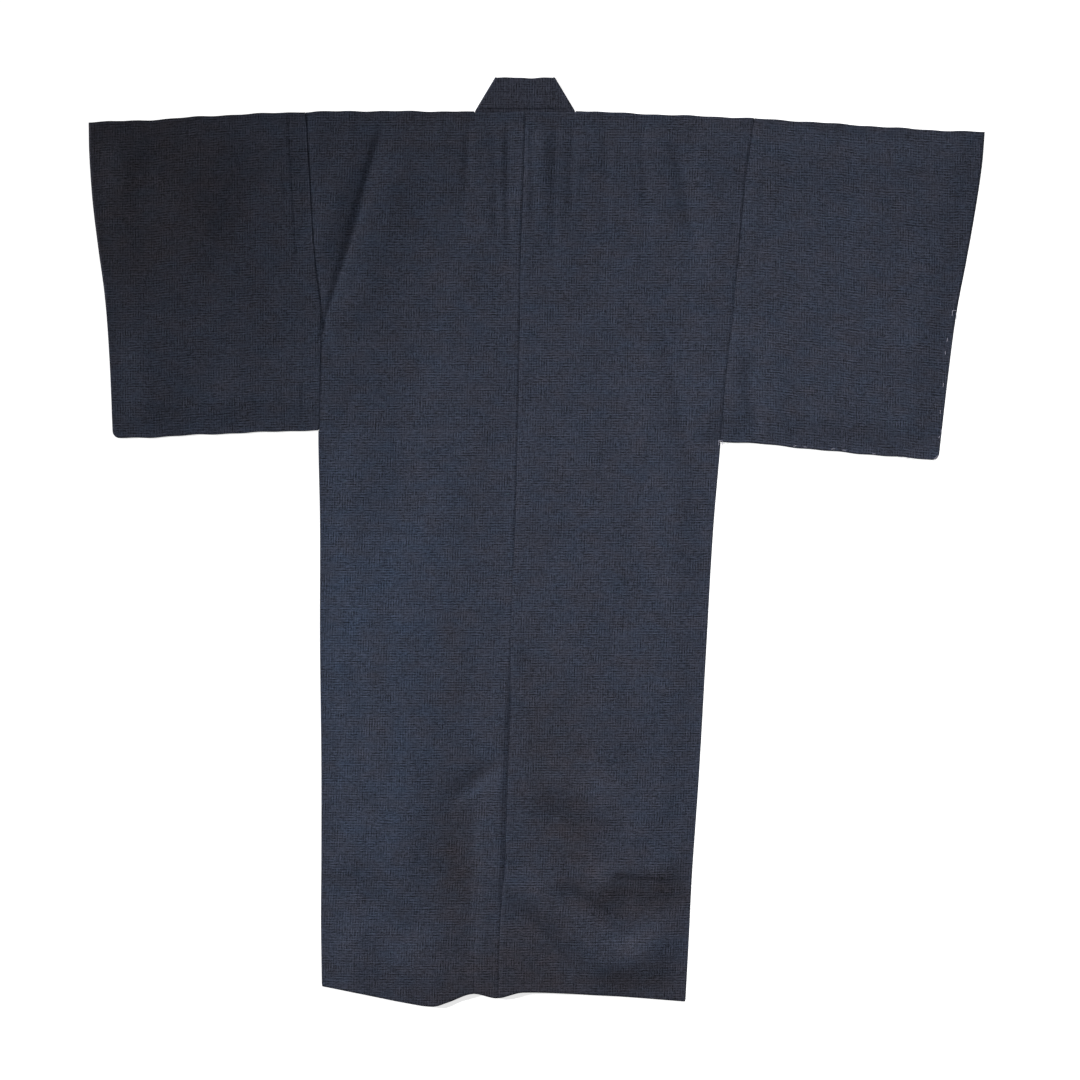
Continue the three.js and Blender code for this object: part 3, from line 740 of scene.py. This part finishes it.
def sleeve(name, material, wall):
    """One sleeve: a flat tube folded at the top, sewn below and up to the hand opening."""
    out = SIDE[name]
    sheet = Sheet(BOLT_PLACE["sleeve"] * out)
    shares, beside = body_shares(name)
    arm = shares[beside - 1]
    depth = SLEEVES[name]["at_cuff"]
    even = np.linspace(0, 1 - CUFF_CORNER / depth, round(depth / ROW))
    share = np.concatenate([even[:-1], 1 - CORNER_ROWS / depth])[:, None]
    down = share * arm * LENGTH
    seam = side_x(name, down) + out * SEAM_GAP
    sewn = step(share, HAND_OPENING, HAND_OPENING + SEWN_RUN)
    span = np.abs(cuff_x(name, share) - seam) + TURN * (1 - sewn)

    # The first two columns go on under the body's edge.
    close = np.array([-2.4, -0.1, 0.35, 0.9, 1.6, 2.5, 3.8, 5.5, 8])
    sink = np.array([1.05, 0.65])
    hidden = len(sink)
    close = np.concatenate([close, [11.5, 15, 18.5, 21.8], BAND_COLUMNS["sleeve"]])
    spread = lerp(close[-1], span, np.linspace(0, 1, 75)[None, 1:])
    distance = np.hstack([np.broadcast_to(close, (len(share), len(close))), spread])
    x = seam + out * distance
    body_y = lerp(shoulder_y(x), hem_y(side_x(name, down)), share * arm)
    cuff_y = lerp(shoulder_y(x), sleeve_bottom_y(name, x), share)
    y = lerp(body_y, cuff_y, step(distance / span, 0, 0.5))
    z = back_over(x, y)
    z[:, :hidden] -= sink
    back = sheet.add(x, y, z, x, -down)
    front = sheet.add(x[:, hidden:], y[:, hidden:], 0, x[:, hidden:], down)
    sheet.fill(back, name == "right")
    sheet.fill(front, name == "left")

    is_left = name == "left"
    sheet.turn(back[0, hidden:], front[0], (0, 1), is_left)
    bottom = sheet.turn(back[-1, hidden:], front[-1], (0, -1), not is_left)
    closed = slice(int(np.argmax(share[:, 0] >= HAND_OPENING)), None)
    run = np.gradient(np.stack([x[closed, -1], y[closed, -1]]), axis=1)
    run = np.abs(run / np.linalg.norm(run, axis=0)) * sewn[closed, 0]
    cuff = sheet.turn(back[closed, -1], front[closed, -1], (out * run[1], -run[0]), is_left)
    sheet.fill(np.stack([bottom[:, -1], cuff[:, -1]]), is_left)
    return sheet.make(f"cloth_sleeve_{name}", material, wall)


def overlap_panel(name, material, wall):
    """One overlap panel: a long strip on the front edge, cut to a tip along the collar."""
    sheet = Sheet()
    slant = np.linspace(OVERLAP_TIP + 6, COLLAR_END, 46)[:, None]
    straight = np.linspace(COLLAR_END + SEAM_GAP, LENGTH, 90)[:, None]
    collar_side = collar_seam(COLLAR_END) + SEAM_GAP

    def strip(down, near, far, share):
        out = lerp(near, far, share)
        x = body_x(name, down, out)
        y = front_y(x, down)
        return sheet.add(x, y, front_under(name, x, y), SIDE[name] * out, down)

    inner = np.linspace(0, 1, 9)[None, :]
    upper = strip(slant, overlap_seam(slant) - SEAM_GAP / 2, collar_seam(slant) + SEAM_GAP, inner)
    lower = strip(straight, overlap_seam(straight) - SEAM_GAP / 2, collar_side, inner)
    wide = strip(straight, collar_side, front_edge(straight), np.linspace(0, 1, 7)[None, 1:])
    flip = name == "right"
    sheet.fill(np.concatenate([upper, lower]), flip)
    sheet.fill(np.hstack([lower[:, -1:], wide]), flip)
    return sheet.make(f"cloth_okumi_{name}", material, wall)


def collar_band(material, wall):
    """The collar: up one front, folded over at the neck, across the back and down the other."""
    sheet = Sheet()
    neck_y = SHOULDER_Y - TURN + SEAM_GAP
    even = (1 - np.cos(np.linspace(0, math.pi, 27))) / 2
    beside_seam = (COLLAR_SEAM + np.array([-1.2, -0.6, 0, 0.6, 1.2])) / COLLAR_WIDE
    t = np.unique(np.concatenate([even, beside_seam]))
    ends = {}
    for name in SIDE:
        seam = np.array([body_x(name, 0, COLLAR_HALF), neck_y])
        free = np.array([body_x(name, 0, COLLAR_TOP_HALF), neck_y + COLLAR_RISE])
        ends[name] = (seam, free)

    def row(seam, free, z, along):
        x, y = lerp(seam[0], free[0], t), lerp(seam[1], free[1], t)
        return sheet.add(x, y, z, t * COLLAR_WIDE, along)

    def front_run(name):
        made = []
        low, high = ends[name]
        for down in COLLAR_END * np.linspace(0, 1, 75) ** 1.25:
            x = body_x(name, down, collar_seam(down))
            drawn_in = SEAM_GAP * (1 - step(down, 0, CORNER_RUN))
            seam = np.array([x, front_y(x, down) + drawn_in])
            slope = SIDE[name] * (2 * COLLAR_BEND * down - COLLAR_LEAN)
            straight = np.array([-SIDE[name], -SIDE[name] * slope])
            straight *= COLLAR_WIDE / np.linalg.norm(straight)
            free = seam + lerp(high - low, straight, step(down, 0, 90))
            x, y = lerp(seam[0], free[0], t), lerp(seam[1], free[1], t)
            made.append(row(seam, free, front_under(name, x, y), SIDE[name] * (60 + down)))
        return made

    # On the back of the neck the free edge waves a little.
    back_run = []
    for s in np.linspace(0, 1, 45):
        swing = math.sin(math.pi * s)
        seam = lerp(ends["left"][0], ends["right"][0], s)
        free = lerp(ends["left"][1], ends["right"][1], s)
        free[1] += swing * (0.9 * math.sin(7.3 * s + 0.6) + 0.4 * math.sin(17 * s)) - 0.4
        body = np.sin(math.pi * t) * swing
        top = 2 * BAND + AIR + body * (COLLAR_CROWN + 0.35 * np.sin(9.5 * s + 3.1 * t))
        edges = 0.8 * bump(t * COLLAR_WIDE, 1.2) + 0.8 * bump((1 - t) * COLLAR_WIDE, 1.0)
        past = COLLAR_SEAM - t * COLLAR_WIDE
        groove = (0.4 * step(past, -0.5, 0.5) + 1.1 * bump(past, 0.9)) * step(swing, 0, 0.25)
        across = lerp(seam[0], free[0], t) - centre_line(0)
        back_run.append(row(seam, free, top - edges - groove, across))

    left, right = front_run("left")[::-1], front_run("right")
    for name, high, low in (("left", back_run[0], left[-1]), ("right", back_run[-1], right[0])):
        line = ends[name][1] - ends[name][0]
        line /= np.linalg.norm(line)
        away = (SIDE[name] * abs(line[1]), abs(line[0]))
        sheet.turn(high, low, away, name == "right", steps=6)
    for run in (left, back_run, right):
        sheet.fill(np.array(run), True)
    return sheet.make("cloth_collar", material, wall)


class Value:
    """A shader socket that takes part in Python arithmetic."""

    def __init__(self, shader, socket):
        self.shader = shader
        self.socket = socket

    def math(self, operation, *others):
        inputs = dict(enumerate((self, *others)))
        return self.shader.node("ShaderNodeMath", {"operation": operation}, inputs)

    def __add__(self, other):
        return self.math("ADD", other)

    def __sub__(self, other):
        return self.math("SUBTRACT", other)

    def __rsub__(self, other):
        return self.math("MULTIPLY", -1.0).math("ADD", other)

    def __mul__(self, other):
        return self.math("MULTIPLY", other)

    def __truediv__(self, other):
        return self.math("DIVIDE", other)

    def clamp(self):
        return self.shader.node("ShaderNodeClamp", {}, {0: self})


class Shader:
    """The nodes of one material."""

    def __init__(self, name):
        self.material = bpy.data.materials.new(name)
        self.material.use_nodes = True
        self.tree = self.material.node_tree
        self.tree.nodes.clear()

    def node(self, kind, settings, inputs, output=0):
        """Adds a node: its settings first, then its socket values and links."""
        made = self.tree.nodes.new(kind)
        for key, value in settings.items():
            setattr(made, key, value)
        for key, value in inputs.items():
            if isinstance(value, Value):
                self.tree.links.new(value.socket, made.inputs[key])
            else:
                made.inputs[key].default_value = value
        return Value(self, made.outputs[output]) if made.outputs else None

    def noise(self, x, y, z, detail=1.0):
        """Noise about 0, mostly between -1 and 1."""
        place = self.node("ShaderNodeCombineXYZ", {}, {0: x, 1: y, 2: z})
        inputs = {"Vector": place, "Scale": 1.0, "Detail": detail, "Roughness": 0.55}
        return (self.node("ShaderNodeTexNoise", {}, inputs) - 0.5) * 4.0

    def mix(self, share, one, two):
        """Mixes two colours: 6 and 7 are the node's colour inputs, 2 is its colour output."""
        return self.node("ShaderNodeMix", {"data_type": "RGBA"}, {0: share, 6: one, 7: two}, 2)

    def finish(self, inputs):
        """Ends in one Principled shader."""
        surface = self.node("ShaderNodeBsdfPrincipled", {}, inputs)
        self.node("ShaderNodeOutputMaterial", {}, {"Surface": surface})
        return self.material


THREAD_PITCH = 3.9  # millimetres
PALE = 2.1  # the pale and dark ends of the cloth's colour
DARK = 0.28
# Painted shade makes the cloth browner and darker, painted sheen makes it bluer and lighter
PAINTED_SHADE_CAST = (0.88, 0.785, 0.7)
PAINTED_SHEEN_CAST = (1.0, 1.13, 1.18)


def rgba(colour, gain=1.0):
    return (*(gain * c for c in colour), 1.0)


def threads(shader, along, across, seed):
    """Thread lines that wander and break up into dashes, for one way of the weave."""
    wander = shader.noise(along / 90.0, across / 16.0, seed) * 0.3
    line = ((across + wander) * (2 * math.pi / THREAD_PITCH)).math("SINE")
    dash = shader.noise(along / 5.5, across / 1.15, seed + 3.7, 2.0)
    strong = (shader.noise(along / 14.0, across / 8.0, seed + 8.1) * 0.7 + 0.45).clamp()
    return dash * 0.72 + line * strong * 0.7


def cloth_material(name, colour, slub):
    """Woven cloth: short pale and dark dashes both ways, in patches, with a slow drift of tint,
    then the painted light and shade that each point carries.
    """
    shader = Shader(name)
    bolt = {"Vector": shader.node("ShaderNodeUVMap", {"uv_map": "bolt"}, {})}
    across = shader.node("ShaderNodeSeparateXYZ", {}, bolt, 0) * (1 / MM)
    along = shader.node("ShaderNodeSeparateXYZ", {}, bolt, 1) * (1 / MM)

    weft = threads(shader, across, along, 0.0)
    warp = threads(shader, along, across, 40.0)
    where = (shader.noise(across / 24.0, along / 20.0, 11.9, 2.0) * 0.75 + 0.4).clamp()
    fleck = shader.noise(across / 1.1, along / 1.1, 71.0)
    grain = weft * (1.0 - where * 0.6) + warp * (where * 0.75 + 0.2) + fleck * 0.55
    grain = grain * (shader.noise(across / 38.0, along / 26.0, 61.0, 2.0) * 0.3 + 0.92)
    drift = shader.noise(across / 60.0, along / 45.0, 21.0, 2.0)
    tint = (shader.noise(across / 32.0, along / 19.0, 31.7, 2.0) * 0.42 + 0.45).clamp()
    teal = (shader.noise(across / 3.1, along / 2.4, 51.0) * 1.2 - 0.55).clamp()

    blue = shader.mix(teal, rgba(colour, PALE), rgba((0.7, 1.3, 1.45), PALE * colour[1]))
    pale = shader.mix(tint, blue, rgba((0.96, 0.98, 1.42), PALE * colour[1]))
    dark = shader.mix(tint, rgba(colour, DARK), rgba((0.97, 0.98, 1.3), DARK * colour[1]))
    base = shader.mix((grain * slub + drift * 0.05 + 0.45).clamp(), dark, pale)
    # The painted light and shade of each point scales the cloth's colour
    painted_light_mix = shader.node("ShaderNodeAttribute", {"attribute_name": "painted_light"}, {}, "Fac")
    painted_light_tint = shader.mix(painted_light_mix, rgba(PAINTED_SHADE_CAST), rgba(PAINTED_SHEEN_CAST))
    base = shader.node("ShaderNodeVectorMath", {"operation": "MULTIPLY"}, {0: base, 1: painted_light_tint})
    relief = {"Height": grain, "Distance": 0.0002, "Strength": 0.6}
    return shader.finish(
        {
            "Base Color": base,
            "Roughness": (grain * -0.05 + 0.86).clamp(),
            "Normal": shader.node("ShaderNodeBump", {}, relief),
            "Sheen Weight": 0.02,
            "Sheen Roughness": 0.5,
            "Sheen Tint": (0.6, 0.7, 1.0, 1.0),
            "Specular IOR Level": 0.15,
        }
    )


def thread_material(name, colour):
    """Loose pale tacking thread."""
    shader = Shader(name)
    place = shader.node("ShaderNodeTexCoord", {}, {}, "Object")
    noise = shader.node("ShaderNodeTexNoise", {}, {"Vector": place, "Scale": 700.0, "Detail": 1.0})
    base = shader.mix(noise, rgba(colour, 0.75), rgba(colour, 1.1))
    return shader.finish({"Base Color": base, "Roughness": 0.8, "Sheen Weight": 0.2})


def floor_material(name, colour):
    """A white table, lit a little from inside, so that it stays plain white round the cloth."""
    glow = {"Emission Color": rgba(colour), "Emission Strength": TABLE_GLOW}
    return Shader(name).finish({"Base Color": rgba(colour), "Roughness": 0.9, **glow})


class KimonoSettings(bpy.types.PropertyGroup):
    """Sizes and colours that a user would change."""

    cloth_wall: FloatProperty(
        name="Cloth thickness",
        description="Thickness of one layer",
        default=0.0005,
        unit="LENGTH",
    )
    collar_wall: FloatProperty(
        name="Collar thickness",
        description="Thickness of the folded band",
        default=0.0016,
        unit="LENGTH",
    )
    thread_radius: FloatProperty(
        name="Thread radius",
        description="Radius of the tacking thread",
        default=0.00036,
        unit="LENGTH",
    )
    slub: FloatProperty(name="Slub", description="Strength of the slubs in the cloth", default=0.68)
    body_colour: FloatVectorProperty(
        name="Body",
        description="Cloth of the body",
        subtype="COLOR",
        default=(0.0305, 0.0382, 0.0625),
    )
    sleeve_colour: FloatVectorProperty(
        name="Sleeves",
        description="Cloth of the sleeves",
        subtype="COLOR",
        default=(0.0305, 0.0382, 0.0620),
    )
    collar_colour: FloatVectorProperty(
        name="Collar",
        description="Cloth of the collar",
        subtype="COLOR",
        default=(0.037, 0.041, 0.0625),
    )
    thread_colour: FloatVectorProperty(
        name="Thread", description="Tacking thread", subtype="COLOR", default=(0.36, 0.35, 0.44)
    )
    floor_colour: FloatVectorProperty(
        name="Floor", description="Surface below", subtype="COLOR", default=(0.93, 0.93, 0.93)
    )


class KIMONO_OT_body(bpy.types.Operator):
    """Make the two body widths, each one length from the back hem over the shoulder to the front"""

    bl_idname = "kimono.body"
    bl_label = "Body widths"

    def execute(self, context):
        chosen = context.scene.kimono_settings
        material = cloth_material("body cloth", chosen.body_colour, chosen.slub)
        for name in SIDE:
            piece = body_width(name, material, chosen.cloth_wall)
            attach(piece, "root")
            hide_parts(f"body_{name}")
        return {"FINISHED"}


class KIMONO_OT_overlaps(bpy.types.Operator):
    """Make the two overlap panels of the fronts"""

    bl_idname = "kimono.overlaps"
    bl_label = "Overlap panels"

    def execute(self, context):
        chosen = context.scene.kimono_settings
        for name in SIDE:
            piece = overlap_panel(name, bpy.data.materials["body cloth"], chosen.cloth_wall)
            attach(piece, "root")
            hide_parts(f"okumi_{name}")
        return {"FINISHED"}


class KIMONO_OT_sleeves(bpy.types.Operator):
    """Make the two sleeves"""

    bl_idname = "kimono.sleeves"
    bl_label = "Sleeves"

    def execute(self, context):
        chosen = context.scene.kimono_settings
        material = cloth_material("sleeve cloth", chosen.sleeve_colour, chosen.slub)
        for name in SIDE:
            piece = sleeve(name, material, chosen.cloth_wall)
            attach(piece, "root")
            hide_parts(f"sleeve_{name}")
        return {"FINISHED"}


class KIMONO_OT_collar(bpy.types.Operator):
    """Make the collar, one folded band round the neck and down both fronts"""

    bl_idname = "kimono.collar"
    bl_label = "Collar"

    def execute(self, context):
        chosen = context.scene.kimono_settings
        material = cloth_material("collar cloth", chosen.collar_colour, chosen.slub)
        piece = collar_band(material, chosen.collar_wall)
        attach(piece, "root")
        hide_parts("collar")
        return {"FINISHED"}


# White tacking stitches left in the right sleeve's edges: the middle of each, its length, its
# direction in degrees, and how far its thread bows up
TACKS = (
    ("x", "y", "long", "angle", "bow"),
    (622.5, 342.5, 8, 88, 0.6),
    (628.5, 338.0, 9, 94, 0.6),
    (625.5, 346.5, 6, 0, 0.9),
    (615.0, 302.5, 6, 80, 0.5),
    (612.0, 283.0, 5, 92, 0.5),
    (609.0, 235.0, 6, 84, 0.5),
    (604.5, 194.5, 5, 88, 0.5),
    (606.0, 166.0, 5, 90, 0.5),
    (603.0, 157.0, 4, 60, 0.5),
    (598.5, 126.5, 9, 40, 0.6),
    (272.5, 148.0, 7, 90, 0.6),
    (278.0, 147.0, 8, 84, 0.6),
    (275.0, 151.5, 6, 0, 0.9),
    (387.0, 143.5, 5, 10, 0.5),
    (402.0, 142.0, 4, 0, 0.5),
    (444.0, 139.0, 6, 4, 0.5),
    (460.5, 137.0, 5, -8, 0.5),
    (505.5, 131.5, 5, 0, 0.5),
    (544.5, 127.0, 6, -5, 0.5),
    (556.5, 125.5, 5, 0, 0.5),
)


class KIMONO_OT_tacking(bpy.types.Operator):
    """Lay the white tacking stitches on the right sleeve"""

    bl_idname = "kimono.tacking"
    bl_label = "Tacking thread"

    def execute(self, context):
        chosen = context.scene.kimono_settings
        line = bpy.data.curves.new("tacking", "CURVE")
        line.dimensions = "3D"
        line.bevel_depth = chosen.thread_radius
        line.bevel_resolution = 2
        line.use_fill_caps = True
        for tack in rows(TACKS):
            t = np.linspace(-0.5, 0.5, 7)
            angle = math.radians(tack["angle"])
            x = tack["x"] + t * tack["long"] * math.cos(angle)
            y = tack["y"] + t * tack["long"] * math.sin(angle)
            z = back_over(x, y) + tack["bow"] * (1 - (2 * t) ** 4) - 0.2
            spline = line.splines.new("POLY")
            spline.points.add(len(t) - 1)
            for point, place in zip(spline.points, np.stack([x + SHIFT[0], y + SHIFT[1], z], -1)):
                point.co = (*(place * MM), 1)
        thread = bpy.data.objects.new("tacking_thread", line)
        context.scene.collection.objects.link(thread)
        bpy.ops.object.select_all(action="DESELECT")
        thread.select_set(True)
        context.view_layer.objects.active = thread
        bpy.ops.object.convert(target="MESH")
        thread = context.view_layer.objects.active
        thread.data.materials.clear()
        thread.data.materials.append(thread_material("tacking thread", chosen.thread_colour))
        bpy.ops.object.shade_smooth()
        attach(thread, "root")
        return {"FINISHED"}


# A low sun from the left grazes the folds. A spot from the top leaves the left sleeve darker.
SUN = {"location": (-2.5, 0.45, 0.92), "energy": 2.85, "angle": 4}
SPOT = {
    "location": (2.2, 5.0, 3.8),
    "aim": (0, -0.9),
    "energy": 2000,
    "cone": 22.5,
    "radius": 0.3,
}
TABLE_GLOW = 0.8
WORLD_STRENGTH = 0.04
CAMERA_PLACE = (0.0050, 0.0031, 3.825)
LENS = 85
SENSOR = 36
FLOOR_SIZE = 14
FLOOR_LEVEL = -0.0004


class KIMONO_OT_stage(bpy.types.Operator):
    """Set the pale floor, the lights and the camera straight above"""

    bl_idname = "kimono.stage"
    bl_label = "Floor, lights and camera"

    def execute(self, context):
        chosen = context.scene.kimono_settings
        bpy.ops.object.select_all(action="DESELECT")
        bpy.ops.mesh.primitive_plane_add(size=FLOOR_SIZE, location=(0, 0, FLOOR_LEVEL))
        floor = context.view_layer.objects.active
        floor.name = "floor"
        floor.data.materials.append(floor_material("floor", chosen.floor_colour))

        place = Vector(SUN["location"])
        bpy.ops.object.light_add(type="SUN", location=place)
        lamp = context.view_layer.objects.active
        lamp.rotation_euler = (-place).to_track_quat("-Z", "Y").to_euler()
        lamp.data.energy = SUN["energy"]
        lamp.data.angle = math.radians(SUN["angle"])

        place = Vector(SPOT["location"])
        bpy.ops.object.light_add(type="SPOT", location=place)
        lamp = context.view_layer.objects.active
        aim = Vector((*SPOT["aim"], 0)) - place
        lamp.rotation_euler = aim.to_track_quat("-Z", "Y").to_euler()
        lamp.data.energy = SPOT["energy"]
        lamp.data.spot_size = math.radians(SPOT["cone"])
        lamp.data.spot_blend = 1
        lamp.data.shadow_soft_size = SPOT["radius"]

        world = bpy.data.worlds.new("studio")
        world.use_nodes = True
        background = world.node_tree.nodes["Background"]
        background.inputs["Color"].default_value = (1, 1, 1, 1)
        background.inputs["Strength"].default_value = WORLD_STRENGTH
        context.scene.world = world

        bpy.ops.object.camera_add(location=CAMERA_PLACE, rotation=(0, 0, 0))
        camera = context.view_layer.objects.active
        camera.data.lens = LENS
        camera.data.sensor_width = SENSOR
        context.scene.camera = camera
        context.scene.view_settings.view_transform = "Standard"
        return {"FINISHED"}


class KIMONO_PT_panel(bpy.types.Panel):
    """Lists the pieces of the kimono"""

    bl_label = "Kimono"
    bl_idname = "KIMONO_PT_panel"
    bl_space_type = "VIEW_3D"
    bl_region_type = "UI"
    bl_category = "Kimono"

    def draw(self, context):
        for name in KimonoSettings.__annotations__:
            self.layout.prop(context.scene.kimono_settings, name)
        for operator in OPERATORS:
            self.layout.operator(operator.bl_idname)


OPERATORS = (
    KIMONO_OT_stage,
    KIMONO_OT_body,
    KIMONO_OT_overlaps,
    KIMONO_OT_sleeves,
    KIMONO_OT_collar,
    KIMONO_OT_tacking,
)
CLASSES = (KimonoSettings, *OPERATORS, KIMONO_PT_panel)


def register():
    for item in CLASSES:
        bpy.utils.register_class(item)
    bpy.types.Scene.kimono_settings = PointerProperty(type=KimonoSettings)


def unregister():
    del bpy.types.Scene.kimono_settings
    for item in reversed(CLASSES):
        bpy.utils.unregister_class(item)


def main():
    register()
    bpy.ops.kimono.stage()
    bpy.ops.kimono.body()
    bpy.ops.kimono.overlaps()
    bpy.ops.kimono.sleeves()
    bpy.ops.kimono.collar()
    bpy.ops.kimono.tacking()


if __name__ == "__main__":
    main()
